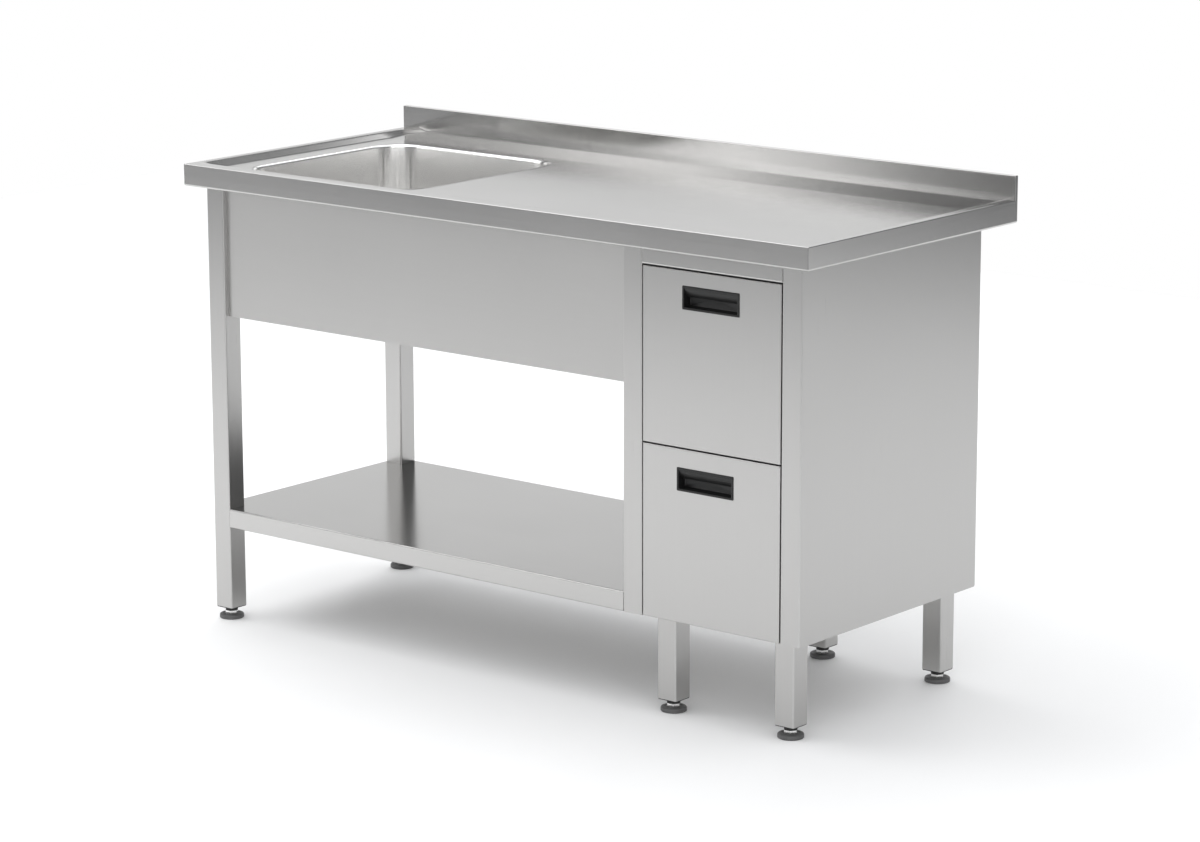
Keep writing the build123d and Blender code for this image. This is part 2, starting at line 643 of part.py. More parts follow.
# Each drawer: bottom and top of its front, bottom of its box, height and place of its pull.
drawers = {
    "upper": (
        FRONT_SPLIT_Z + half_gap,
        TOP_RAIL_BOTTOM - FRONT_GAP,
        UPPER_BOX_Z,
        UPPER_PULL_Z,
        UPPER_PULL_X,
    ),
    "lower": (
        CAB_BOTTOM + FRONT_BOTTOM_FIT,
        FRONT_SPLIT_Z - half_gap,
        LOWER_BOX_Z,
        LOWER_PULL_Z,
        LOWER_PULL_X,
    ),
}


# Each member: distances of its web and of its lips' ends from the bracket,
# and half its height. The drawer member faces back towards the bracket.
slide_members = {
    "outer": (0.0, 1.2, 9.0, 22.5),
    "middle": (2.0, 3.2, 10.4, 18.8),
    "inner": (12.7, 11.5, 4.2, 15.1),
}

with BuildPart() as slide_brackets:
    for low_z, high_z, box_z, pull_z, pull_x in drawers.values():
        slide_z = box_z + SLIDE_RISE
        for wall_x, shell_x in ((OPEN_LEFT, CAB_LEFT + TOP_SHEET), (OPEN_RIGHT, CAB_RIGHT - TOP_SHEET)):
            toward = 1 if shell_x > wall_x else -1
            reach = abs(shell_x - wall_x)
            with BuildSketch(Plane.XZ.offset(-back_y)) as bracket_section:
                with BuildLine():
                    channel_profile(wall_x, toward, 0.0, SLIDE_SHEET, reach, slide_z, BRACKET_HEIGHT / 2)
                make_face()
            extrude(bracket_section.sketch, amount=BRACKET_LENGTH)
slide_brackets.part.label = "slide_brackets"
export_step(slide_brackets.part, "parts/slide_brackets.step")

for drawer, (low_z, high_z, box_z, pull_z, pull_x) in drawers.items():
    slide_z = box_z + SLIDE_RISE
    for side_name, wall_x, toward in (("left", OPEN_LEFT, 1), ("right", OPEN_RIGHT, -1)):
        for member, (near, far, lip_end, half_height) in slide_members.items():
            with BuildPart() as rail:
                with BuildSketch(Plane.XZ.offset(-slide_front_y - SLIDE_LENGTH)) as rail_section:
                    with BuildLine():
                        channel_profile(wall_x, toward, near, far, lip_end, slide_z, half_height)
                    make_face()
                extrude(amount=SLIDE_LENGTH)
            node = f"{drawer}_slide_{member}_{side_name}"
            rail.part.label = node
            export_step(rail.part, f"parts/{node}.step")

    with BuildPart() as drawer_box:
        with BuildSketch(Plane.XY.offset(box_z)):
            with Locations((OPEN_MID, (box_front_y + box_rear_y) / 2)):
                Rectangle(box_right - box_left, BOX_LENGTH)
        extrude(amount=BOX_HEIGHT)
        with BuildSketch(Plane.XY.offset(box_z + THIN)):
            with Locations((OPEN_MID, (box_front_y + box_rear_y) / 2)):
                RectangleRounded(box_right - box_left - 2 * THIN, BOX_LENGTH - 2 * THIN, BOX_CORNER)
        extrude(amount=BOX_HEIGHT, mode=Mode.SUBTRACT)
    drawer_box.part.label = f"{drawer}_drawer_box"
    export_step(drawer_box.part, f"parts/{drawer}_drawer_box.step")

    with BuildPart() as drawer_front:
        block(
            (OPEN_LEFT + FRONT_GAP, FRAME_FRONT_Y, low_z),
            (OPEN_RIGHT - FRONT_GAP, box_front_y, high_z),
        )
        fillet(drawer_front.faces().sort_by(Axis.Y)[0].edges(), THIN)
        block(
            (OPEN_LEFT + FRONT_GAP + THIN, FRAME_FRONT_Y + THIN, low_z + THIN),
            (OPEN_RIGHT - FRONT_GAP - THIN, box_front_y - THIN, high_z - THIN),
            mode=Mode.SUBTRACT,
        )
        cut_x = PULL_LENGTH / 2 - PULL_LAP
        cut_z = PULL_HEIGHT / 2 - PULL_LAP
        block(
            (pull_x - cut_x, FRAME_FRONT_Y, pull_z - cut_z),
            (pull_x + cut_x, FRAME_FRONT_Y + THIN, pull_z + cut_z),
            mode=Mode.SUBTRACT,
        )
    drawer_front.part.label = f"{drawer}_drawer_front"
    export_step(drawer_front.part, f"parts/{drawer}_drawer_front.step")

    with BuildPart() as pull:
        face_y = FRAME_FRONT_Y - PULL_PROUD
        block(
            (pull_x - PULL_LENGTH / 2, face_y, pull_z - PULL_HEIGHT / 2),
            (pull_x + PULL_LENGTH / 2, FRAME_FRONT_Y, pull_z + PULL_HEIGHT / 2),
        )
        fillet(pull.faces().sort_by(Axis.Y)[0].edges(), PULL_PROUD / 2)
        cup_x = cut_x - PLUG_FIT
        cup_z = cut_z - PLUG_FIT
        block(
            (pull_x - cup_x, FRAME_FRONT_Y, pull_z - cup_z),
            (pull_x + cup_x, FRAME_FRONT_Y + PULL_DEPTH, pull_z + cup_z),
        )
        in_x = PULL_LENGTH / 2 - PULL_FRAME - PULL_WALL
        in_z = PULL_HEIGHT / 2 - PULL_FRAME - PULL_WALL
        in_y = FRAME_FRONT_Y + PULL_DEPTH - PULL_WALL
        block(
            (pull_x - in_x, face_y, pull_z - in_z),
            (pull_x + in_x, in_y, pull_z + in_z),
            mode=Mode.SUBTRACT,
        )
        with BuildSketch(Plane.YZ.offset(pull_x - in_x)):
            with BuildLine():
                Polyline(
                    (face_y + THIN, pull_z + in_z),
                    (face_y + PULL_LIP_BACK, pull_z),
                    (face_y + PULL_LIP_BACK + PULL_WALL, pull_z + THIN),
                    (face_y + 2 * THIN + PULL_WALL, pull_z + in_z),
                    close=True,
                )
            make_face()
        extrude(amount=2 * in_x)
    pull.part.label = f"{drawer}_drawer_pull"
    export_step(pull.part, f"parts/{drawer}_drawer_pull.step")
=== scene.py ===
"""Stainless work table: its looks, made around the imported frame.

The frame gives every place and size. Curved and moulded pieces are made here as
parametric surfaces; folded sheets and tubes keep their CAD shape and get a finish.
"""
import json
import math

import bmesh
import bpy
import numpy as np
from bpy.props import FloatProperty, FloatVectorProperty, PointerProperty
from mathutils import Matrix, Vector

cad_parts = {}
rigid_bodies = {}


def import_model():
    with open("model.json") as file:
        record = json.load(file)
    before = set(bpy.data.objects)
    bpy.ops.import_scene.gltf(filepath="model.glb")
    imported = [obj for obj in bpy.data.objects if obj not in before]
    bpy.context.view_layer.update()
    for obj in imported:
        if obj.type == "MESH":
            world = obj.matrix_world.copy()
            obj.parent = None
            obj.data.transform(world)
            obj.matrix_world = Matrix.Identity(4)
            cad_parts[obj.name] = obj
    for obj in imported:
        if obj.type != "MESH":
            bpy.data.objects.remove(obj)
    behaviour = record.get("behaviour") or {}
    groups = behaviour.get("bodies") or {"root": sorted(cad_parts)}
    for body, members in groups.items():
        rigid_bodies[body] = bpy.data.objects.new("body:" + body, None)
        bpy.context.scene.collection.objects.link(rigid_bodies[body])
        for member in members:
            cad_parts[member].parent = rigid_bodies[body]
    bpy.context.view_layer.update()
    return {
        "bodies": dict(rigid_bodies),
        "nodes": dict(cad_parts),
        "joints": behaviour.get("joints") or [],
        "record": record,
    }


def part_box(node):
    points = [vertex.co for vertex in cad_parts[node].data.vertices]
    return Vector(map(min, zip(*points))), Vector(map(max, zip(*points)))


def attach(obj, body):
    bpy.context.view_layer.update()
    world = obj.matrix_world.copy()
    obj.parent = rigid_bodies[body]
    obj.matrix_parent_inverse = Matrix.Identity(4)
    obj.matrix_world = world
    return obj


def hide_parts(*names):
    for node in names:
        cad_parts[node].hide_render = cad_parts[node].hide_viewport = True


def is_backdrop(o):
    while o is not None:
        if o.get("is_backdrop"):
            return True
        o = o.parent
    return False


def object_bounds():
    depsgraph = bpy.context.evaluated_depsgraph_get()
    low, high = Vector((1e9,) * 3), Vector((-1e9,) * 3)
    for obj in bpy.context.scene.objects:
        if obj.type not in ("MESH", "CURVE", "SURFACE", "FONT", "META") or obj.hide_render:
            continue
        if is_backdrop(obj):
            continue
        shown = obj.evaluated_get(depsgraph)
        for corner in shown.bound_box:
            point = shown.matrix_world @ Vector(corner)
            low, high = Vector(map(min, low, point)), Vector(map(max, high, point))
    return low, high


bl_info = {
    "name": "Stainless Work Table",
    "version": (1, 0, 0),
    "blender": (4, 5, 0),
    "location": "3D View > Sidebar > Work Table",
    "description": "Builds the visible pieces, finishes and stage of a stainless work table",
    "category": "Object",
}

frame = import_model()
MM = 0.001
TINY = 0.001 * MM
# From a bend to the row of points that keeps the face beside it flat.
HOLD = 0.4 * MM
# How much smaller a drawer front is than its CAD box, at each side.
FRONT_FIT = Vector((0.5 * MM, 0.0, 0.2 * MM))
BOWL_CORNER = 58 * MM
DRAWERS = ("upper", "lower")
FEET = (
    "front_left",
    "rear_left",
    "cabinet_front_left",
    "cabinet_front_right",
    "cabinet_rear_left",
    "cabinet_rear_right",
)
FINISHES = {}
ZINC = (0.62, 0.64, 0.66)
TAIL_WHITE = (0.75, 0.75, 0.72)
GASKET_BLACK = (0.02, 0.02, 0.02)
FLOOR_GREY = (0.9, 0.9, 0.9)
# The dome's brightness against the sine of the height.
DOME_LEVELS = (
    (-1.0, 0.25),
    (-0.34, 0.26),
    (-0.05, 0.24),
    (0.1, 0.12),
    (0.5, 0.20),
    (0.66, 0.80),
    (0.82, 1.40),
    (1.0, 1.80),
)
DOME_TINT = (0.985, 1.0, 1.02)
# Extra light from low down, for matt surfaces only: sine of its height, and strength.
LOW_BAND, LOW_LIGHT = 0.42, 0.75
# Soft boxes: bearing and height in degrees, half sizes, blur, slant, strength.
SOFT_BOXES = (
    ((47.0, 7.0), (33.0, 11.0), 6.0, 0.0, 0.82),
    ((22.8, 36.0), (12.6, 12.0), 1.5, 0.0, 1.70),
    ((142.0, 10.0), (1.6, 11.0), 0.8, 0.42, 3.00),
    ((120.6, 12.0), (15.8, 12.0), 1.2, 0.0, 1.60),
    ((-140.0, 22.0), (26.0, 24.0), 8.0, 0.0, 1.40),
)


# ---- settings that a user would change ----


class WorktableFinish(bpy.types.PropertyGroup):
    """Colours and gloss of the table's materials."""

    steel: FloatVectorProperty(
        name="Steel",
        description="Reflected colour of the satin sheet",
        subtype="COLOR",
        size=3,
        min=0.0,
        max=1.0,
        default=(0.502, 0.497, 0.489),
    )
    bright_steel: FloatVectorProperty(
        name="Bright steel",
        description="Reflected colour of the polished bowl and its rim",
        subtype="COLOR",
        size=3,
        min=0.0,
        max=1.0,
        default=(0.905, 0.9, 0.89),
    )
    satin: FloatProperty(
        name="Satin roughness",
        description="Roughness of the ground sheet and tube",
        default=0.3,
        min=0.05,
        max=1.0,
    )
    moulding: FloatVectorProperty(
        name="Moulding",
        description="Colour of the black plastic pulls and plugs",
        subtype="COLOR",
        size=3,
        min=0.0,
        max=1.0,
        default=(0.006, 0.006, 0.006),
    )
    pad: FloatVectorProperty(
        name="Foot pad",
        description="Colour of the grey plastic foot pads",
        subtype="COLOR",
        size=3,
        min=0.0,
        max=1.0,
        default=(0.085, 0.085, 0.085),
    )


class WorktableSizes(bpy.types.PropertyGroup):
    """Small sizes of the visible shapes, which the frame doesn't hold."""

    pan_depth: FloatProperty(
        name="Pan depth",
        description="How far the worktop's floor lies below its rim",
        default=8 * MM,
        unit="LENGTH",
    )
    ramp_rise: FloatProperty(
        name="Ramp rise",
        description="How much the floor rises towards the upstand",
        default=4 * MM,
        unit="LENGTH",
    )
    bend: FloatProperty(
        name="Bend radius",
        description="Outer radius of the folded lower edge",
        default=3.5 * MM,
        unit="LENGTH",
    )
    bowl_roll: FloatProperty(
        name="Rim roll",
        description="Radius of the bowl's rolled rim",
        default=5 * MM,
        unit="LENGTH",
    )


class WorktableStage(bpy.types.PropertyGroup):
    """Camera, floor and light."""

    azimuth: FloatProperty(
        name="Azimuth",
        description="Camera's turn to the right of the front",
        default=math.radians(39.35),
        subtype="ANGLE",
    )
    elevation: FloatProperty(
        name="Elevation",
        description="Camera's height above the horizon",
        default=math.radians(12.48),
        subtype="ANGLE",
    )
    roll: FloatProperty(
        name="Roll",
        description="Camera's tilt about its own axis",
        default=math.radians(-0.13),
        subtype="ANGLE",
    )
    distance: FloatProperty(
        name="Distance",
        description="From the camera to the point it looks at",
        default=6.985,
        unit="LENGTH",
    )
    aim: FloatVectorProperty(
        name="Aim",
        description="The point looked at, measured from the middle of the table",
        subtype="TRANSLATION",
        size=3,
        default=(0.019, 0.008, -0.0255),
    )
    lens: FloatProperty(
        name="Lens",
        description="Focal length in millimetres",
        default=117.97,
    )
    daylight: FloatProperty(
        name="Dome strength",
        description="Strength of the soft light from all round",
        default=1.0,
    )


# ---- surfaces ----


def loop_points(low, high, radius, arc=8, side=1):
    """A rectangle with rounded corners, anticlockwise, as an array of points.

    Each corner is centre + radius * (cos t, sin t) over its own quarter turn;
    each straight side has evenly spaced points, the first and last close to the
    corners so that the side shades flat.
    """
    (x0, y0), (x1, y1) = low, high
    radius = max(radius, TINY)
    turn = np.linspace(0, np.pi / 2, arc + 1)
    centres = ((x1 - radius, y1 - radius), (x0 + radius, y1 - radius),
               (x0 + radius, y0 + radius), (x1 - radius, y0 + radius))
    arcs = []
    for k, centre in enumerate(centres):
        angle = turn + k * np.pi / 2
        arcs.append(np.array(centre) + radius * np.stack([np.cos(angle), np.sin(angle)], 1))
    points = []
    for k, corner in enumerate(arcs):
        start, end = corner[-1], arcs[(k + 1) % 4][0]
        hold = min(HOLD / max(np.linalg.norm(end - start), TINY), 0.2)
        share = np.linspace(hold, 1 - hold, side + 1)[:, None]
        points += [corner, start + (end - start) * share]
    return np.concatenate(points)


def circle_points(x, y, radius, steps=48):
    """A circle (x + r cos t, y + r sin t), as an array of points."""
    turn = np.arange(steps) * 2 * np.pi / steps
    return np.stack([x + radius * np.cos(turn), y + radius * np.sin(turn)], 1)


def lift(points, level, axis=2):
    """Plane points put into space: the level goes into the given axis."""
    return np.insert(points, axis, level, axis=1)


def rounding(radius, steps=4):
    """A quarter circle from a flat to a wall: pairs r (1 - sin t), r (1 - cos t) of inset and drop."""
    turn = np.linspace(0, np.pi / 2, steps + 1)
    return np.stack([radius * (1 - np.sin(turn)), radius * (1 - np.cos(turn))], 1)


def closed_rows(rows, first=True, last=True):
    """Rows of a closed section: the first column is repeated, and each end runs to its middle."""
    grid = np.stack([np.concatenate([row, row[:1]]) for row in rows])
    parts = [grid]
    if first:
        parts.insert(0, np.broadcast_to(grid[:1, :-1].mean(1, keepdims=True), grid[:1].shape))
    if last:
        parts.append(np.broadcast_to(grid[-1:, :-1].mean(1, keepdims=True), grid[-1:].shape))
    return np.concatenate(parts)


def inset_rows(low, high, levels, axis=2, arc=8, side=1):
    """Rounded rectangles across an axis, one for each (inset, level, corner radius)."""
    plane = [k for k in range(3) if k != axis]
    low, high = np.array(low, float)[plane], np.array(high, float)[plane]
    rows = []
    for inset, level, radius in levels:
        outline = loop_points(low + inset, high - inset, radius, arc, side)
        rows.append(lift(outline, level, axis))
    return rows


def grid_piece(name, grids, material, body, replaces=(), sharp=38.0, sheet=0.0, planar=()):
    """One piece from grids of points: each grid[i, j] gives quads between neighbours.

    The map follows arc length along both directions, or X and Y on the planar
    grids. Doubles are merged, faces turned outwards, and creases over the given
    angle stay sharp. A sheet above 0 gives that wall thickness, inwards.
    """
    corners, quads, maps, base = [], [], [], 0
    for number, grid in enumerate(grids):
        rows, columns = grid.shape[:2]
        across = np.linalg.norm(np.diff(grid, axis=1), axis=2).max(0)
        along = np.linalg.norm(np.diff(grid, axis=0), axis=2).max(1)
        u = np.concatenate([[0], np.cumsum(across)])
        v = np.concatenate([[0], np.cumsum(along)])
        index = base + np.arange(rows * columns).reshape(rows, columns)
        around = (index[:-1, :-1], index[:-1, 1:], index[1:, 1:], index[1:, :-1])
        quads.append(np.stack(around, 2).reshape(-1, 4))
        flat = grid[..., :2] if number in planar else np.stack(np.meshgrid(u, v), 2)
        maps.append(flat.reshape(-1, 2))
        corners.append(grid.reshape(-1, 3))
        base += rows * columns
    corners, quads, maps = map(np.concatenate, (corners, quads, maps))
    mesh = bpy.data.meshes.new(name)
    mesh.vertices.add(len(corners))
    mesh.vertices.foreach_set("co", corners.astype(np.float32).ravel())
    mesh.loops.add(quads.size)
    mesh.loops.foreach_set("vertex_index", quads.ravel().astype(np.int32))
    mesh.polygons.add(len(quads))
    mesh.polygons.foreach_set("loop_start", (np.arange(len(quads)) * 4).astype(np.int32))
    mesh.update(calc_edges=True)
    layer = mesh.uv_layers.new(name="grain")
    layer.data.foreach_set("uv", maps[quads.ravel()].astype(np.float32).ravel())
    edit = bmesh.new()
    edit.from_mesh(mesh)
    bmesh.ops.remove_doubles(edit, verts=edit.verts, dist=2 * TINY)
    bmesh.ops.dissolve_degenerate(edit, edges=edit.edges, dist=TINY)
    bmesh.ops.recalc_face_normals(edit, faces=edit.faces)
    edit.to_mesh(mesh)
    edit.free()
    mesh.polygons.foreach_set("use_smooth", np.ones(len(mesh.polygons), bool))
    mesh.set_sharp_from_angle(angle=math.radians(sharp))
    mesh.materials.append(material)
    piece = bpy.data.objects.new(name, mesh)
    bpy.context.scene.collection.objects.link(piece)
    if sheet:
        wall = piece.modifiers.new("sheet", "SOLIDIFY")
        wall.thickness = sheet
        wall.offset = -1.0
    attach(piece, body)
    if replaces:
        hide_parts(*replaces)
    return piece


def rounded_block(low, high, edge, axis=2, arc=5):
    """A block with rounded edges: sections across an axis, inset by a quarter circle at both ends."""
    ends = rounding(edge, arc)
    levels = [(inset, low[axis] + drop) for inset, drop in ends]
    levels += [(0.0, low[axis] + edge + HOLD), (0.0, high[axis] - edge - HOLD)]
    levels += [(inset, high[axis] - drop) for inset, drop in ends[::-1]]
    levels = [(inset, level, max(edge - inset, 50 * TINY)) for inset, level in levels]
    return closed_rows(inset_rows(low, high, levels, axis, arc))


def turned(x, y, profile, steps=48):
    """A turned shape: a profile of (radius, height) pairs carried round the upright through (x, y)."""
    return closed_rows([lift(circle_points(x, y, radius, steps), height) for radius, height in profile])


def joined(*arrays):
    """Profiles one after another."""
    return np.concatenate([np.atleast_2d(a) for a in arrays])


# ---- shader groups ----


def new_group(name, inputs, outputs):
    """A node group with named sockets; inputs carry their defaults."""
    group = bpy.data.node_groups.new(name, "ShaderNodeTree")
    for label, kind, default in inputs:
        socket = group.interface.new_socket(name=label, in_out="INPUT", socket_type=kind)
        if default is not None:
            socket.default_value = default
    for label, kind in outputs:
        group.interface.new_socket(name=label, in_out="OUTPUT", socket_type=kind)
    nodes = group.nodes
    return group, nodes.new("NodeGroupInput"), nodes.new("NodeGroupOutput")


def wire(tree, source, target):
    """One link between two sockets."""
    tree.links.new(source, target)


def math_node(tree, operation, *operands):
    """A Math node; each operand is a socket or a number."""
    node = tree.nodes.new("ShaderNodeMath")
    node.operation = operation
    for socket, value in zip(node.inputs, operands):
        if isinstance(value, (int, float)):
            socket.default_value = value
        else:
            wire(tree, value, socket)
    return node.outputs[0]


def noise_node(tree, vector, scale, detail, roughness=0.5):
    """A Noise texture's value on a vector."""
    node = tree.nodes.new("ShaderNodeTexNoise")
    node.inputs["Scale"].default_value = scale
    node.inputs["Detail"].default_value = detail
    node.inputs["Roughness"].default_value = roughness
    wire(tree, vector, node.inputs["Vector"])
    return node.outputs[0]


def grain_group():
    """Ground steel: fine lines and long streaks on stretched coordinates, soft clouds on plain ones."""
    group, start, end = new_group(
        "ground_grain",
        [
            ("Stretched", "NodeSocketVector", None),
            ("Plain", "NodeSocketVector", None),
            ("Lines", "NodeSocketFloat", 0.05),
            ("Clouds", "NodeSocketFloat", 0.04),
        ],
        [
            ("Shade", "NodeSocketFloat"),
            ("Rough shift", "NodeSocketFloat"),
            ("Height", "NodeSocketFloat"),
        ],
    )
    fine_share, ridge_gloss, cloud_gloss = 0.6, 2.0, 0.06
    fine = noise_node(group, start.outputs["Stretched"], scale=1.0, detail=2.0, roughness=0.6)
    streak = noise_node(group, start.outputs["Stretched"], scale=0.16, detail=3.0, roughness=0.55)
    cloud = noise_node(group, start.outputs["Plain"], scale=3.2, detail=2.0, roughness=0.45)
    fine = math_node(group, "MULTIPLY", fine, fine_share)
    lines = math_node(group, "MULTIPLY_ADD", streak, 1.0 - fine_share, fine)
    centred = math_node(group, "SUBTRACT", lines, 0.5)
    soft = math_node(group, "SUBTRACT", cloud, 0.5)
    ridges = math_node(group, "MULTIPLY", centred, start.outputs["Lines"])
    shade = math_node(group, "ADD", ridges, 1.0)
    shade = math_node(group, "MULTIPLY_ADD", soft, start.outputs["Clouds"], shade)
    wire(group, shade, end.inputs["Shade"])
    shift = math_node(group, "MULTIPLY", soft, cloud_gloss)
    shift = math_node(group, "MULTIPLY_ADD", ridges, ridge_gloss, shift)
    wire(group, shift, end.inputs["Rough shift"])
    wire(group, lines, end.inputs["Height"])
    return group


def texture_group():
    """Moulded plastic: a fine spark-eroded texture with slight unevenness of colour."""
    group, start, end = new_group(
        "moulded_texture",
        [("Vector", "NodeSocketVector", None), ("Size", "NodeSocketFloat", 1400.0)],
        [
            ("Shade", "NodeSocketFloat"),
            ("Rough shift", "NodeSocketFloat"),
            ("Height", "NodeSocketFloat"),
        ],
    )
    node = group.nodes.new("ShaderNodeTexNoise")
    node.inputs["Detail"].default_value = 3.0
    wire(group, start.outputs["Vector"], node.inputs["Vector"])
    wire(group, start.outputs["Size"], node.inputs["Scale"])
    broad = noise_node(group, start.outputs["Vector"], scale=40.0, detail=2.0)
    wire(group, math_node(group, "MULTIPLY_ADD", broad, 0.5, 0.75), end.inputs["Shade"])
    wire(group, math_node(group, "MULTIPLY_ADD", node.outputs[0], 0.2, -0.1), end.inputs["Rough shift"])
    wire(group, node.outputs[0], end.inputs["Height"])
    return group


def soft_box_group():
    """A soft box on the dome: strength inside its bearing and height, easing off over the blur."""
    group, start, end = new_group(
        "soft_box",
        [
            ("Bearing", "NodeSocketFloat", None),
            ("Height", "NodeSocketFloat", None),
            ("Bearing at", "NodeSocketFloat", 0.0),
            ("Height at", "NodeSocketFloat", 0.0),
            ("Half width", "NodeSocketFloat", 0.2),
            ("Half height", "NodeSocketFloat", 0.2),
            ("Blur", "NodeSocketFloat", 0.05),
            ("Slant", "NodeSocketFloat", 0.0),
            ("Strength", "NodeSocketFloat", 1.0),
        ],
        [("Glow", "NodeSocketFloat")],
    )
    sockets = start.outputs
    glow = sockets["Strength"]
    rise = math_node(group, "SUBTRACT", sockets["Height"], sockets["Height at"])
    turn = math_node(group, "SUBTRACT", sockets["Bearing"], sockets["Bearing at"])
    turn = math_node(group, "MULTIPLY_ADD", rise, sockets["Slant"], turn)
    for offset, half in ((turn, "Half width"), (rise, "Half height")):
        away = math_node(group, "ABSOLUTE", offset)
        inside = math_node(group, "SUBTRACT", sockets[half], away)
        inside = math_node(group, "DIVIDE", inside, sockets["Blur"])
        share = math_node(group, "ADD", inside, 0.5)
        share.node.use_clamp = True
        glow = math_node(group, "MULTIPLY", glow, share)
    wire(group, glow, end.inputs["Glow"])
    return group


def surface(name, colour, metallic, roughness, anisotropy=0.0, specular=0.5):
    """A material with one Principled shader, its constants set on its own sockets."""
    material = bpy.data.materials.new(name)
    material.use_nodes = True
    tree = material.node_tree
    shader = tree.nodes["Principled BSDF"]
    shader.inputs["Metallic"].default_value = metallic
    shader.inputs["Roughness"].default_value = roughness
    shader.inputs["Anisotropic"].default_value = anisotropy
    shader.inputs["Specular IOR Level"].default_value = specular
    material.diffuse_color = (*colour, 1.0)
    return material, tree, shader


def finish_links(tree, shader, group_node, colour, roughness, bump, distance):
    """Feeds a group's shade, roughness shift and height into the shader."""
    tint = tree.nodes.new("ShaderNodeMix")
    tint.data_type = "RGBA"
    tint.blend_type = "MULTIPLY"
    tint.inputs["Factor"].default_value = 1.0
    tint.inputs["A"].default_value = (*colour, 1.0)
    wire(tree, group_node.outputs["Shade"], tint.inputs["B"])
    wire(tree, tint.outputs["Result"], shader.inputs["Base Color"])
    rough = math_node(tree, "ADD", group_node.outputs["Rough shift"], roughness)
    wire(tree, rough, shader.inputs["Roughness"])
    relief = tree.nodes.new("ShaderNodeBump")
    relief.inputs["Strength"].default_value = bump
    relief.inputs["Distance"].default_value = distance
    wire(tree, group_node.outputs["Height"], relief.inputs["Height"])
    wire(tree, relief.outputs["Normal"], shader.inputs["Normal"])


def ground_steel(
    name,
    colour,
    roughness,
    along,
    anisotropy=0.5,
    lines=0.05,
    mapped=False,
    pitch=0.9,
    bump=0.02,
):
    """Steel ground along one axis of the object, or along the piece's own map.

    Coordinates are divided by the line pitch across the grain and by 150 times
    as much along it, which draws the noise out into lines.
    """
    longer, relief = 150, 0.03 * MM
    material, tree, shader = surface(name, colour, 1.0, roughness, anisotropy)
    place = tree.nodes.new("ShaderNodeTexCoord")
    source = place.outputs["UV"] if mapped else place.outputs["Object"]
    stretch = tree.nodes.new("ShaderNodeMapping")
    scales = [1.0 / (pitch * MM)] * 3
    scales[along] = 1.0 / (pitch * longer * MM)
    stretch.inputs["Scale"].default_value = scales
    wire(tree, source, stretch.inputs["Vector"])
    grain = tree.nodes.new("ShaderNodeGroup")
    grain.node_tree = FINISHES["grain_group"]
    grain.inputs["Lines"].default_value = lines
    wire(tree, stretch.outputs["Vector"], grain.inputs["Stretched"])
    wire(tree, place.outputs["Object"], grain.inputs["Plain"])
    finish_links(tree, shader, grain, colour, roughness, bump, relief)
    tangent = tree.nodes.new("ShaderNodeTangent")
    tangent.direction_type = "UV_MAP" if mapped else "RADIAL"
    if mapped:
        tangent.uv_map = "grain"
    else:
        tangent.axis = "Z"
    shader.inputs["Anisotropic Rotation"].default_value = 0.25 if along == 0 else 0.0
    wire(tree, tangent.outputs["Tangent"], shader.inputs["Tangent"])
    return material


def moulded(name, colour, roughness, specular=0.5):
    """Moulded plastic or rubber with a fine texture."""
    bump, relief = 0.25, 0.05 * MM
    material, tree, shader = surface(name, colour, 0.0, roughness, specular=specular)
    place = tree.nodes.new("ShaderNodeTexCoord")
    texture = tree.nodes.new("ShaderNodeGroup")
    texture.node_tree = FINISHES["texture_group"]
    wire(tree, place.outputs["Object"], texture.inputs["Vector"])
    finish_links(tree, shader, texture, colour, roughness, bump, relief)
    return material


# ---- operators ----


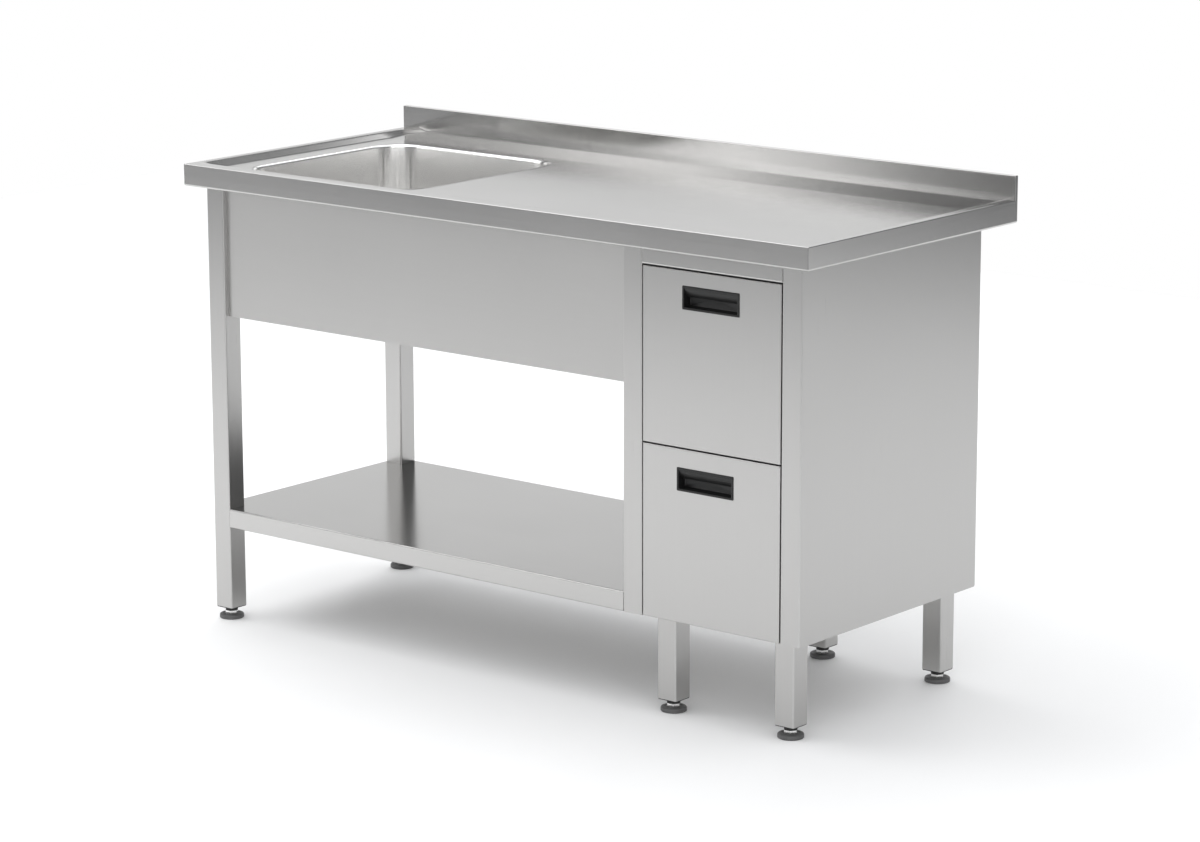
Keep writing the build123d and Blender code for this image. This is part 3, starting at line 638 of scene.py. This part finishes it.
class WORKTABLE_OT_finishes(bpy.types.Operator):
    """Make every material and put the right one on each carried-over CAD piece"""

    bl_idname = "worktable.finishes"
    bl_label = "Finishes"

    def execute(self, context):
        look = context.scene.worktable_finish
        steel, bright = tuple(look.steel), tuple(look.bright_steel)
        black, grey = tuple(look.moulding), tuple(look.pad)
        satin = look.satin
        sideways, backwards, upwards = 0, 1, 2
        FINISHES["grain_group"] = grain_group()
        FINISHES["texture_group"] = texture_group()
        FINISHES.update(
            top=ground_steel(
                "worktop_satin", steel, satin * 0.55, sideways, anisotropy=0.7, mapped=True
            ),
            upstand=ground_steel(
                "upstand_satin", steel, satin * 0.5, backwards, anisotropy=0.7, mapped=True
            ),
            lengthways=ground_steel("panel_satin_lengthways", steel, satin, sideways),
            upright=ground_steel("panel_satin_upright", steel, satin, upwards),
            tube=ground_steel("tube_ground_upright", steel, satin, upwards, lines=0.08, pitch=0.8),
            shelf=ground_steel("shelf_satin", steel, satin * 0.6, sideways, anisotropy=0.0),
            bowl=ground_steel(
                "bowl_polished",
                bright,
                satin * 0.76,
                sideways,
                anisotropy=0.85,
                lines=0.02,
                mapped=True,
                pitch=2.5,
                bump=0.003,
            ),
            bright=ground_steel("turned_bright", bright, satin * 0.7, sideways, anisotropy=0.0),
            zinc=ground_steel("slide_zinc", ZINC, satin, backwards, anisotropy=0.2, lines=0.12),
            black=moulded("pull_black", black, 0.36, specular=0.45),
            plug=moulded("plug_black", black, 0.5),
            pad=moulded("foot_grey", grey, 0.5),
            tail=moulded("tail_white", TAIL_WHITE, 0.4),
            gasket=moulded("gasket_rubber", GASKET_BLACK, 0.75),
        )
        by_slot = {
            "worktop_steel": "shelf",
            "panel_steel": "lengthways",
            "front_steel": "upright",
            "tube_steel": "tube",
            "bowl_steel": "bowl",
            "strainer_steel": "bright",
            "stud_steel": "bright",
            "slide_steel": "zinc",
            "pull_plastic": "black",
            "plug_plastic": "plug",
            "foot_plastic": "pad",
            "tail_plastic": "tail",
            "gasket_rubber": "gasket",
        }
        by_node = {
            "cabinet_side_left": "upright",
            "cabinet_side_right": "upright",
            "cabinet_back": "upright",
            "left_apron": "upright",
            "rear_rail": "lengthways",
        }
        slots = {part["node"]: part["material_slot"] for part in frame["record"]["subparts"]}
        for node, cad in frame["nodes"].items():
            finish = by_node.get(node, by_slot[slots[node]])
            for place in cad.material_slots:
                place.material = FINISHES[finish]
        return {"FINISHED"}


def outline_distance(x, y, low, high, radii):
    """Signed distance to a rectangle whose four corners have their own radii, below 0 inside.

    With p the offset from the middle, q = |p| - half + r, and the distance is
    length(max(q, 0)) + min(max(q), 0) - r. Radii run: left-front, right-front,
    right-rear, left-rear.
    """
    middle = [(a + b) / 2 for a, b in zip(low, high)]
    half = [(b - a) / 2 for a, b in zip(low, high)]
    px, py = x - middle[0], y - middle[1]
    r = np.where(px < 0, np.where(py < 0, radii[0], radii[3]), np.where(py < 0, radii[1], radii[2]))
    qx, qy = np.abs(px) - half[0] + r, np.abs(py) - half[1] + r
    return np.hypot(np.maximum(qx, 0), np.maximum(qy, 0)) + np.minimum(np.maximum(qx, qy), 0) - r


def eased(t, width):
    """A clamp to 0..1 whose two corners are rounded over the given width."""

    def ramp(s):
        inside = (s + width) ** 2 / (4 * width)
        return np.where(s < -width, 0.0, np.where(s < width, inside, s))

    return ramp(t) - ramp(t - 1.0)


def mouth_points(around, low, high, radius):
    """Where rays from the middle to the given points cross the rounded mouth, found by halving."""
    low, high = np.array(low)[:2], np.array(high)[:2]
    middle = (low + high) / 2
    near, far = np.zeros(len(around)), np.ones(len(around))
    for _ in range(40):
        half = (near + far) / 2
        trial = middle + (around - middle) * half[:, None]
        beyond = outline_distance(*trial.T, low, high, (radius,) * 4) > 0
        near, far = np.where(beyond, near, half), np.where(beyond, half, far)
    return middle + (around - middle) * near[:, None]


def ring_to_mouth(side_x, side_y, low, high, radius, level):
    """A flat ring: straight rays from a rectangle of grid lines in to the rounded mouth."""
    around = joined(
        np.stack([side_x, np.full(len(side_x), side_y[0])], 1)[:-1],
        np.stack([np.full(len(side_y), side_x[-1]), side_y], 1)[:-1],
        np.stack([side_x, np.full(len(side_x), side_y[-1])], 1)[:0:-1],
        np.stack([np.full(len(side_y), side_x[0]), side_y], 1)[:0:-1],
    )
    mouth = mouth_points(around, low, high, radius)
    share = np.linspace(0, 1, 6)[:, None, None]
    ring = lift(around, level)[None] * (1 - share) + lift(mouth, level)[None] * share
    return np.concatenate([ring, ring[:, :1]], 1)


def spaced(*stretches):
    """Grid lines: each stretch is (start, end, spacing), and stretches share their ends."""
    lines = []
    for start, end, step in stretches:
        count = max(2, int(round(abs(end - start) / step)) + 1)
        lines.append(np.linspace(start, end, count))
    return np.unique(np.round(np.concatenate(lines), 7))


class WORKTABLE_OT_worktop(bpy.types.Operator):
    """Make the worktop: rim, slopes, floor with its ramp, lips and folded upstand"""

    bl_idname = "worktable.worktop"
    bl_label = "Worktop"
    # The upstand and the lips overlap behind; each gives way by this much where the other shows.
    seam = 0.05 * MM

    def execute(self, context):
        size = context.scene.worktable_sizes
        low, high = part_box("worktop")
        bowl_low, bowl_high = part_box("sink_bowl")
        lip_height, upstand_depth, ramp_depth = 40 * MM, 8 * MM, 89 * MM
        rim_left, rim_right, rim_front = 15 * MM, 18 * MM, 30 * MM
        slope_left, slope, slope_rear = 31 * MM, 14 * MM, 1 * MM
        corner, rear_corner = 12 * MM, 46 * MM
        slope_blend, ramp_blend = 0.16, 0.05
        edge, sheet = 1.2 * MM, 1.2 * MM
        rim_z = low.z + lip_height
        wall_y = high.y - upstand_depth
        ramp_y = wall_y - ramp_depth
        top_low = (low.x + rim_left, low.y + rim_front)
        top_high = (high.x - rim_right, high.y)
        floor_low = (top_low[0] + slope_left, top_low[1] + slope)
        floor_high = (top_high[0] - slope, top_high[1] - slope_rear)
        top_radii = (corner, corner, corner, rear_corner + slope)
        floor_radii = (corner, corner, corner, rear_corner)

        def height(x, y):
            """Rim height less the pan: the slope runs from the outer outline to the inner one."""
            outer = outline_distance(x, y, top_low, top_high, top_radii)
            inner = outline_distance(x, y, floor_low, floor_high, floor_radii)
            share = eased(-outer / np.maximum(inner - outer, 100 * TINY), slope_blend)
            ramp = eased((y - ramp_y) / ramp_depth, ramp_blend) * size.ramp_rise
            return rim_z - share * (size.pan_depth - ramp)

        def patch(xs, ys):
            """The height over a grid of lines."""
            x, y = np.meshgrid(xs, ys)
            return np.stack([x, y, height(x, y)], 2)

        fine, close, wide, widest = 1.5 * MM, 6 * MM, 12 * MM, 16 * MM
        left_band, right_band = 62 * MM, 46 * MM
        beside, before = 18 * MM, 3.5 * MM
        hole_low = (bowl_low.x - beside, bowl_low.y - before)
        hole_high = (bowl_high.x + beside, bowl_high.y + beside)
        x_lines = spaced(
            (low.x + edge, low.x + left_band, fine),
            (low.x + left_band, hole_low[0], close),
            (hole_low[0], hole_high[0], wide),
            (hole_high[0], high.x - right_band, widest),
            (high.x - right_band, high.x - edge, fine),
        )
        y_lines = spaced(
            (low.y + edge, hole_low[1], fine),
            (hole_low[1], hole_high[1], wide),
            (hole_high[1], ramp_y - close, close),
            (ramp_y - close, ramp_y + close, fine),
            (ramp_y + close, wall_y, 2 * fine),
        )
        left, right = x_lines <= hole_low[0] + TINY, x_lines >= hole_high[0] - TINY
        front, rear = y_lines <= hole_low[1] + TINY, y_lines >= hole_high[1] - TINY
        side_x = x_lines[(x_lines >= hole_low[0] - TINY) & (x_lines <= hole_high[0] + TINY)]
        side_y = y_lines[(y_lines >= hole_low[1] - TINY) & (y_lines <= hole_high[1] + TINY)]
        floor = [
            patch(x_lines[left], y_lines),
            patch(x_lines[right], y_lines),
            patch(side_x, y_lines[front]),
            patch(side_x, y_lines[rear]),
            ring_to_mouth(
                side_x,
                side_y,
                bowl_low,
                bowl_high,
                BOWL_CORNER + size.bowl_roll,
                rim_z - size.pan_depth,
            ),
        ]
        grid_piece(
            "worktop_sheet",
            [*floor, self.skirt(low, high, rim_z, edge, size.bend)],
            FINISHES["top"],
            "table",
            ("worktop",),
            sharp=50.0,
            sheet=sheet,
            planar=range(len(floor)),
        )
        upstand = rounded_block(
            (low.x + self.seam, wall_y, low.z + size.bend + HOLD),
            (high.x - self.seam, high.y, high.z),
            edge,
            axis=0,
        )
        grid_piece(
            "worktop_upstand",
            [upstand],
            FINISHES["upstand"],
            "table",
            ("worktop",),
        )
        return {"FINISHED"}

    @classmethod
    def skirt(cls, low, high, rim_z, edge, bend):
        """The lips: rounded rectangles from the rim down the lip, round the bend and in underneath."""
        fold = 14 * MM
        levels = [(inset, rim_z - drop) for inset, drop in rounding(edge, 4)]
        levels += [(0.0, rim_z - edge - HOLD), (0.0, low.z + bend + HOLD)]
        levels += [(inset, low.z + drop) for inset, drop in rounding(bend, 6)[::-1]]
        levels += [(fold, low.z)]
        levels = [(inset, level, max(edge - inset, 300 * TINY)) for inset, level in levels]
        rear = high - Vector((0.0, cls.seam, 0.0))
        return closed_rows(inset_rows(low, rear, levels, arc=4), False, False)


class WORKTABLE_OT_bowl(bpy.types.Operator):
    """Make the sink bowl: its rolled rim, walls and floor down to the waste outlet"""

    bl_idname = "worktable.bowl"
    bl_label = "Sink bowl"

    def execute(self, context):
        low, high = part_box("sink_bowl")
        strainer_low, strainer_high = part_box("drain_strainer")
        roll = context.scene.worktable_sizes.bowl_roll
        sheet, fillet, flange = 1.0 * MM, 30 * MM, 6 * MM
        dish_drop, dish_share = 0.2 * MM, 0.62
        bottom_z = low.z + 1.2 * MM
        wall_top, wall_foot = high.z - roll, bottom_z + fillet
        levels = []
        for t in np.linspace(0, np.pi / 2, 8):
            inset = roll * math.sin(t)
            levels.append((inset, high.z - roll * (1 - math.cos(t)), BOWL_CORNER + roll - inset))
        for share in np.linspace(0, 1, 7)[1:-1]:
            levels.append((roll, wall_top + (wall_foot - wall_top) * share, BOWL_CORNER))
        for t in np.linspace(0, np.pi / 2, 10):
            inset = fillet * (1 - math.cos(t))
            levels.append((roll + inset, bottom_z + fillet * (1 - math.sin(t)), BOWL_CORNER - inset))
        rows = inset_rows(low, high, levels, arc=12, side=12)
        last = rows[-1]
        drain = np.array((strainer_low + strainer_high) / 2)[:2]
        reach = (strainer_high.x - strainer_low.x) / 2 + flange
        spread = np.arctan2(last[:, 1] - drain[1], last[:, 0] - drain[0])
        around = reach * np.stack([np.cos(spread), np.sin(spread)], 1)
        ring = lift(drain + around, bottom_z)
        rows += [last * (1 - share) + ring * share for share in np.linspace(0, 1, 9)[1:]]
        rows.append(lift(drain + around * dish_share, bottom_z - dish_drop))
        grid_piece(
            "bowl_drawn",
            [closed_rows(rows, False, False)],
            FINISHES["bowl"],
            "table",
            ("sink_bowl",),
            sharp=60.0,
            sheet=sheet,
        )
        return {"FINISHED"}


class WORKTABLE_OT_fronts(bpy.types.Operator):
    """Make the folded drawer fronts, the moulded pulls set into them, and the rail above"""

    bl_idname = "worktable.fronts"
    bl_label = "Drawer fronts and pulls"

    def execute(self, context):
        for drawer in DRAWERS:
            body = f"{drawer}_drawer"
            pull_low, pull_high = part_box(f"{drawer}_drawer_pull")
            self.front(drawer, body, pull_low, pull_high)
            self.pull(drawer, body, pull_low, pull_high)
        self.rail()
        return {"FINISHED"}

    @staticmethod
    def front(drawer, body, pull_low, pull_high):
        """The front: a folded pan of sheet with softened edges and a cut-out for the pull.

        Sections are rounded rectangles across Y, from the return at the back,
        round both bends, over the face and in to the cut-out.
        """
        low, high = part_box(f"{drawer}_drawer_front")
        low, high = low + FRONT_FIT, high - FRONT_FIT
        bend, lap, corner, hidden = 1.6 * MM, 12 * MM, 0.8 * MM, 3.2 * MM
        profile = [(lap, high.y), (bend + HOLD, high.y)]
        profile += [(inset, high.y - drop) for inset, drop in rounding(bend, 4)]
        profile += [(0.0, high.y - bend - HOLD), (0.0, low.y + bend + HOLD)]
        profile += [(inset, low.y + drop) for inset, drop in rounding(bend, 4)[::-1]]
        profile += [(bend + HOLD, low.y)]
        cut = [(hidden - HOLD, low.y), (hidden, low.y), (hidden, low.y + corner)]
        outer, inner = ([(inset, y, corner) for inset, y in part] for part in (profile, cut))
        rows = inset_rows(low, high, outer, axis=1, arc=3, side=8)
        rows += inset_rows(pull_low, pull_high, inner, axis=1, arc=3, side=8)
        grid_piece(
            f"{drawer}_front_folded",
            [closed_rows(rows, False, False)],
            FINISHES["upright"],
            body,
            (f"{drawer}_drawer_front",),
            sheet=1.0 * MM,
        )

    @staticmethod
    def rail():
        """The cabinet's top rail: a channel whose section follows two bends, drawn along X."""
        low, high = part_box("cabinet_top_rail")
        bend, spacing = 3.0 * MM, 30 * MM
        inset, drop = rounding(bend, 6).T
        section = joined(
            [(high.y, high.z), (low.y + bend + HOLD, high.z)],
            np.stack([low.y + inset, high.z - drop], 1),
            [(low.y, high.z - bend - HOLD), (low.y, low.z + bend + HOLD)],
            np.stack([low.y + inset, low.z + drop], 1)[::-1],
            [(low.y + bend + HOLD, low.z), (high.y, low.z)],
        )
        stations = spaced(
            (low.x, low.x + HOLD, HOLD),
            (low.x + HOLD, high.x - HOLD, spacing),
            (high.x - HOLD, high.x, HOLD),
        )
        grid_piece(
            "top_rail_folded",
            [np.stack([lift(section, x, 0) for x in stations])],
            FINISHES["upstand"],
            "table",
            ("cabinet_top_rail",),
            sheet=1.0 * MM,
        )

    @staticmethod
    def pull(drawer, body, low, high):
        """The pull: a softened frame, a cup behind it, and a grip that slopes back from the top.

        The cup's levels follow the part behind the sheet, the frame's outer
        edge, face and inner edge, and the cup's wall and back. The grip's
        section runs down its face, round its lip and up again behind.
        """
        frame, wall, tuck, ledge, soft = 4 * MM, 1.5 * MM, 3 * MM, 1.2 * MM, 0.8 * MM
        frame_corner, cup_corner = 1.6 * MM, 2.5 * MM
        deep = high.y - wall
        levels = [
            (tuck, high.y, 1.0 * MM),
            (tuck, low.y + ledge, 1.0 * MM),
            (0.0, low.y + ledge, frame_corner),
            (0.0, low.y + 0.5 * MM, frame_corner),
            (0.3 * MM, low.y + 0.1 * MM, 1.4 * MM),
            (soft, low.y, 1.2 * MM),
            (frame - soft, low.y, 1.2 * MM),
            (frame - 0.2 * MM, low.y + 0.2 * MM, 1.4 * MM),
            (frame, low.y + soft, frame_corner),
            (frame + 0.6 * MM, deep - 3 * MM, cup_corner),
            (frame + 1.2 * MM, deep - 1 * MM, cup_corner),
            (frame + 3 * MM, deep, 2 * MM),
        ]
        rows = inset_rows(low, high, levels, axis=1, arc=5, side=2)
        play, lip, thick, tilt = 0.3 * MM, 0.8 * MM, 1.6 * MM, 0.2 * MM
        middle, top = (low.z + high.z) / 2, high.z - frame - play
        front, back = low.y + 1 * MM, low.y + 10 * MM
        share = np.linspace(0, 1, 12)
        drop = top + (middle - top) * share
        slope = front + (back - front) * share**1.5
        turn = share[1:-1] * np.pi
        section = joined(
            np.stack([slope, drop], 1),
            np.stack([back + lip - lip * np.cos(turn), middle - lip * np.sin(turn)], 1),
            np.stack([slope + thick, drop + tilt], 1)[::-1],
        )
        ends = (low.x + frame + play, high.x - frame - play)
        grip = [lift(section, x, 0) for x in np.linspace(*ends, 8)]
        for name, shape in (("cup", rows), ("grip", grip)):
            grid_piece(
                f"{drawer}_pull_{name}",
                [closed_rows(shape)],
                FINISHES["black"],
                body,
                (f"{drawer}_drawer_pull",),
            )


class WORKTABLE_OT_feet(bpy.types.Operator):
    """Make the pads of the levelling feet, with a groove round the stud"""

    bl_idname = "worktable.feet"
    bl_label = "Foot pads"

    def execute(self, context):
        edge, groove = 2.6 * MM, 0.6 * MM
        inset, drop = rounding(edge, 6).T
        for name in FEET:
            low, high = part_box(f"foot_pad_{name}")
            middle = (low + high) / 2
            radius = (high.x - low.x) / 2
            profile = joined(
                [(radius - 3 * MM, low.z), (radius - 1 * MM, low.z + 0.2 * MM)],
                [(radius, low.z + 1.2 * MM)],
                np.stack([radius - inset, high.z - drop], 1)[::-1],
                [(radius * 0.72, high.z), (radius * 0.70, high.z - groove)],
                [(radius * 0.58, high.z - groove), (radius * 0.55, high.z)],
            )
            grid_piece(
                f"pad_{name}",
                [turned(middle.x, middle.y, profile, 64)],
                FINISHES["pad"],
                f"foot_{name}",
                (f"foot_pad_{name}",),
            )
        return {"FINISHED"}


class WORKTABLE_OT_stage(bpy.types.Operator):
    """Make the floor, the studio light and the camera"""

    bl_idname = "worktable.stage"
    bl_label = "Stage"

    def execute(self, context):
        settings = context.scene.worktable_stage
        low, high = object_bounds()
        middle = (low + high) / 2
        self.floor(low)
        self.dome(context.scene, settings)
        self.lamps(middle)
        self.camera(context.scene, settings, middle)
        context.scene.view_settings.view_transform = "Standard"
        return {"FINISHED"}

    @staticmethod
    def floor(low):
        """A pale floor under the feet, longer from side to side, with painted shade: its colour is
        darker near the table and paler far out.
        """
        half_x, half_y, speckle = 4.6, 3.6, 0.01
        mesh = bpy.data.meshes.new("floor")
        corners = [(-half_x, -half_y), (half_x, -half_y), (half_x, half_y), (-half_x, half_y)]
        mesh.from_pydata([(x, y, low.z) for x, y in corners], [], [(0, 1, 2, 3)])
        floor = bpy.data.objects.new("floor", mesh)
        bpy.context.scene.collection.objects.link(floor)
        material, tree, shader = surface("floor_pale", FLOOR_GREY, 0.0, 0.7, specular=0.2)
        place = tree.nodes.new("ShaderNodeTexCoord")
        speck = noise_node(tree, place.outputs["Object"], scale=6.0, detail=3.0)
        reach = tree.nodes.new("ShaderNodeVectorMath")
        reach.operation = "LENGTH"
        wire(tree, place.outputs["Object"], reach.inputs[0])
        # Painted shade: the floor's colour is 0.9 within 0.9 m of the middle and eases up to 0.97 by
        # 2.2 m, standing in for a wide soft shadow round the table.
        painted_shade_falloff = tree.nodes.new("ShaderNodeMapRange")
        painted_shade_falloff.interpolation_type = "SMOOTHSTEP"
        limits = {"From Min": 0.9, "From Max": 2.2, "To Min": 0.9, "To Max": 0.97}
        for label, value in limits.items():
            painted_shade_falloff.inputs[label].default_value = value
        wire(tree, reach.outputs["Value"], painted_shade_falloff.inputs["Value"])
        shade = math_node(tree, "MULTIPLY_ADD", speck, speckle, painted_shade_falloff.outputs["Result"])
        wire(tree, shade, shader.inputs["Base Color"])
        mesh.materials.append(material)
        floor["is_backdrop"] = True

    @staticmethod
    def dome(scene, settings):
        """A studio dome that brightens overhead, with soft boxes round it; the camera sees white.

        The bearing runs from the rear towards the left, and the height from the
        horizon, both in radians. Matt surfaces get a little more light from low
        down, which softens the shadow under the table.
        """
        world = bpy.data.worlds.new("studio")
        world.use_nodes = True
        scene.world = world
        tree = world.node_tree
        tree.nodes.clear()
        place = tree.nodes.new("ShaderNodeTexCoord")
        split = tree.nodes.new("ShaderNodeSeparateXYZ")
        wire(tree, place.outputs["Generated"], split.inputs[0])
        leftward = math_node(tree, "MULTIPLY", split.outputs["X"], -1.0)
        bearing = math_node(tree, "ARCTAN2", leftward, split.outputs["Y"])
        height = math_node(tree, "ARCSINE", split.outputs["Z"])
        ramp = tree.nodes.new("ShaderNodeValToRGB")
        wire(tree, math_node(tree, "MULTIPLY_ADD", split.outputs["Z"], 0.5, 0.5), ramp.inputs["Fac"])
        stops = ramp.color_ramp.elements
        for sine, value in DOME_LEVELS:
            stop = stops.new((sine + 1) / 2)
            stop.color = (*(value * part for part in DOME_TINT), 1.0)
        stops.remove(stops[0])
        stops.remove(stops[-1])
        group = soft_box_group()
        glow = 0.0
        for at, half, blur, slant, strength in SOFT_BOXES:
            box = tree.nodes.new("ShaderNodeGroup")
            box.node_tree = group
            numbers = (at[0], at[1], half[0], half[1], blur)
            for socket, value in zip(list(box.inputs)[2:7], numbers):
                socket.default_value = math.radians(value)
            box.inputs["Slant"].default_value = slant
            box.inputs["Strength"].default_value = strength
            wire(tree, bearing, box.inputs["Bearing"])
            wire(tree, height, box.inputs["Height"])
            glow = math_node(tree, "ADD", box.outputs["Glow"], glow)
        path = tree.nodes.new("ShaderNodeLightPath")
        steepness = math_node(tree, "ABSOLUTE", split.outputs["Z"])
        low_down = math_node(tree, "LESS_THAN", steepness, LOW_BAND)
        soft = math_node(tree, "MULTIPLY", low_down, path.outputs["Is Diffuse Ray"])
        glow = math_node(tree, "MULTIPLY_ADD", soft, LOW_LIGHT, glow)
        total = tree.nodes.new("ShaderNodeVectorMath")
        total.operation = "ADD"
        wire(tree, ramp.outputs["Color"], total.inputs[0])
        wire(tree, glow, total.inputs[1])
        studio = tree.nodes.new("ShaderNodeBackground")
        studio.inputs["Strength"].default_value = settings.daylight
        wire(tree, total.outputs[0], studio.inputs["Color"])
        white = tree.nodes.new("ShaderNodeBackground")
        white.inputs["Color"].default_value = (1.0, 1.0, 1.0, 1.0)
        white.inputs["Strength"].default_value = 1.0
        mixed = tree.nodes.new("ShaderNodeMixShader")
        wire(tree, path.outputs["Is Camera Ray"], mixed.inputs["Fac"])
        wire(tree, studio.outputs[0], mixed.inputs[1])
        wire(tree, white.outputs[0], mixed.inputs[2])
        out = tree.nodes.new("ShaderNodeOutputWorld")
        wire(tree, mixed.outputs[0], out.inputs["Surface"])

    @staticmethod
    def lamps(middle):
        """A large soft box overhead, aimed at the table."""
        lamp = bpy.data.lights.new("overhead", "AREA")
        lamp.shape = "RECTANGLE"
        lamp.size, lamp.size_y = 3.6, 3.0
        lamp.energy = 48.0
        box = bpy.data.objects.new("overhead", lamp)
        bpy.context.scene.collection.objects.link(box)
        box.location = (-1.5, -0.5, 3.2)
        box.rotation_mode = "QUATERNION"
        box.rotation_quaternion = (middle - box.location).to_track_quat("-Z", "Y")

    @staticmethod
    def camera(scene, settings, middle):
        """The camera, which looks from the front right, a little above the top."""
        data = bpy.data.cameras.new("camera")
        data.lens = settings.lens
        data.sensor_width = 36.0
        data.clip_end = 100.0
        camera = bpy.data.objects.new("camera", data)
        scene.collection.objects.link(camera)
        turn = (
            Matrix.Rotation(settings.azimuth, 3, "Z")
            @ Matrix.Rotation(math.pi / 2 - settings.elevation, 3, "X")
            @ Matrix.Rotation(settings.roll, 3, "Z")
        )
        aim = middle + Vector(settings.aim)
        camera.location = aim + turn @ Vector((0.0, 0.0, settings.distance))
        camera.rotation_euler = turn.to_euler()
        scene.camera = camera


OPERATORS = (
    WORKTABLE_OT_finishes,
    WORKTABLE_OT_worktop,
    WORKTABLE_OT_bowl,
    WORKTABLE_OT_fronts,
    WORKTABLE_OT_feet,
    WORKTABLE_OT_stage,
)


class VIEW3D_PT_worktable(bpy.types.Panel):
    """The table's settings and its builders, in the order they run"""

    bl_label = "Work Table"
    bl_space_type = "VIEW_3D"
    bl_region_type = "UI"
    bl_category = "Work Table"

    def draw(self, context):
        layout = self.layout
        for holder in ("worktable_finish", "worktable_sizes", "worktable_stage"):
            settings = getattr(context.scene, holder)
            box = layout.box()
            for field in settings.bl_rna.properties.keys():
                if field not in ("rna_type", "name"):
                    box.prop(settings, field)
        for operator in OPERATORS:
            layout.operator(operator.bl_idname)


CLASSES = (WorktableFinish, WorktableSizes, WorktableStage, *OPERATORS, VIEW3D_PT_worktable)


def register():
    """Registers the classes and hangs the settings on the scene."""
    for each in CLASSES:
        bpy.utils.register_class(each)
    bpy.types.Scene.worktable_finish = PointerProperty(type=WorktableFinish)
    bpy.types.Scene.worktable_sizes = PointerProperty(type=WorktableSizes)
    bpy.types.Scene.worktable_stage = PointerProperty(type=WorktableStage)


def unregister():
    """Takes the settings and classes away again."""
    del bpy.types.Scene.worktable_stage
    del bpy.types.Scene.worktable_sizes
    del bpy.types.Scene.worktable_finish
    for each in reversed(CLASSES):
        bpy.utils.unregister_class(each)


def main():
    register()
    for operator in OPERATORS:
        group, name = operator.bl_idname.split(".")
        getattr(getattr(bpy.ops, group), name)()


if __name__ == "__main__":
    main()
